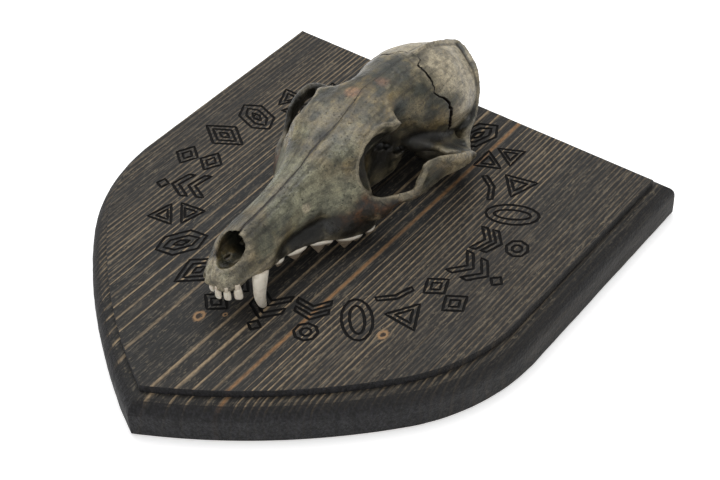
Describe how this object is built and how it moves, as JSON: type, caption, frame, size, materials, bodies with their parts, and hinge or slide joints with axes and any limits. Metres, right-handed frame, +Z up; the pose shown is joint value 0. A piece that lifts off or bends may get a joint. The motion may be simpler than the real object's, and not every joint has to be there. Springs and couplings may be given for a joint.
{
  "type": "fox skull on a shield plaque",
  "caption": "Red fox cranium without its lower jaw, nose raised on its canine teeth, lying on a flat shield-shaped wooden plaque with a moulded edge.",
  "frame": {"origin": "under the middle of the plaque's bounding box, on the surface that the plaque lies on", "axes": "+Z up; +Y towards the straight top edge of the shield, so the nose points along -Y; +X to the animal's left"},
  "size_m": [0.19, 0.2085, 0.0638],
  "materials": {
    "wood": "dark grey-brown stain over pine, worn to tan along the grain, matt",
    "bone": "weathered olive-grey bone, satin, darker towards the tooth row and in the temporal fossa",
    "enamel": "cream tooth enamel, glossy, brown at the necks and cusps"
  },
  "bodies": {
    "root": {"plaque": "wood", "snout": "bone", "braincase": "bone", "cheekbone_left": "bone", "cheekbone_right": "bone"}
  },
  "joints": []
}
